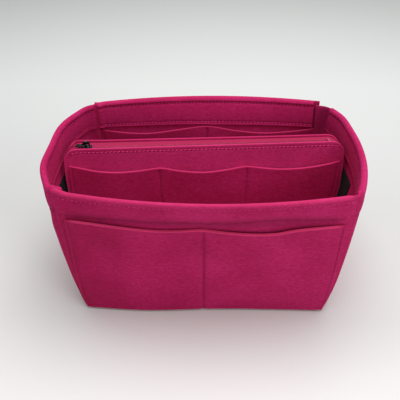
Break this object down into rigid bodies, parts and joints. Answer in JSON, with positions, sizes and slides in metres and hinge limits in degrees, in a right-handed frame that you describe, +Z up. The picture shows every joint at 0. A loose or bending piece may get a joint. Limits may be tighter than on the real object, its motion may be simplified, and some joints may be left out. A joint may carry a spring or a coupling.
{
  "type": "purse organizer insert",
  "caption": "Open felt basket insert for a handbag, with hemmed rim, flat felt pockets inside and out, and a lift-out zipped pouch held across its middle by hook-and-loop tape.",
  "frame": {"origin": "on the floor, under the middle of the basket's outer box", "axes": "+X along the basket to the right as seen from the front, -Y towards the front, +Z up"},
  "size_m": [0.3044, 0.1997, 0.1635],
  "materials": {
    "felt": "matte pressed felt, hot pink",
    "hook_and_loop": "matte black hook-and-loop tape",
    "zip_webbing": "woven polyester tape, hot pink",
    "zip_coil": "satin nylon coil, hot pink",
    "gunmetal": "dark gunmetal"
  },
  "bodies": {
    "basket": {"front_panel": "felt", "back_panel": "felt", "right_side_panel": "felt", "left_side_panel": "felt", "base_panel": "felt", "front_pocket": "felt", "back_pocket": "felt", "inner_back_pocket": "felt", "right_loop_tape": "hook_and_loop", "left_loop_tape": "hook_and_loop"},
    "pouch": {"pouch_front_panel": "felt", "pouch_back_panel": "felt", "pouch_gusset": "felt", "pouch_pocket": "felt", "pouch_right_hook_tape": "hook_and_loop", "pouch_left_hook_tape": "hook_and_loop", "zip_back_tape": "zip_webbing", "zip_front_tape": "zip_webbing", "zip_back_coil": "zip_coil", "zip_front_coil": "zip_coil", "zip_back_top_stop": "gunmetal", "zip_front_top_stop": "gunmetal", "zip_bottom_stop": "zip_coil"},
    "slider": {"zip_slider": "gunmetal"},
    "pull": {"zip_pull_tab": "gunmetal"}
  },
  "joints": [
    {"name": "pouch_lift", "type": "slide", "parent": "basket", "child": "pouch", "axis": [0, 0, 1], "range_m": [0, 0.17]},
    {"name": "zip_slide", "type": "slide", "parent": "pouch", "child": "slider", "axis": [0.9969, 0.0785, 0], "range_m": [0, 0.2395]},
    {"name": "pull_swing", "type": "hinge", "parent": "slider", "child": "pull", "pos_m": [-0.11993, 0.00012, 0.15387], "axis": [-0.0777, 0.9872, -0.1392], "range_deg": [0, 180]}
  ]
}
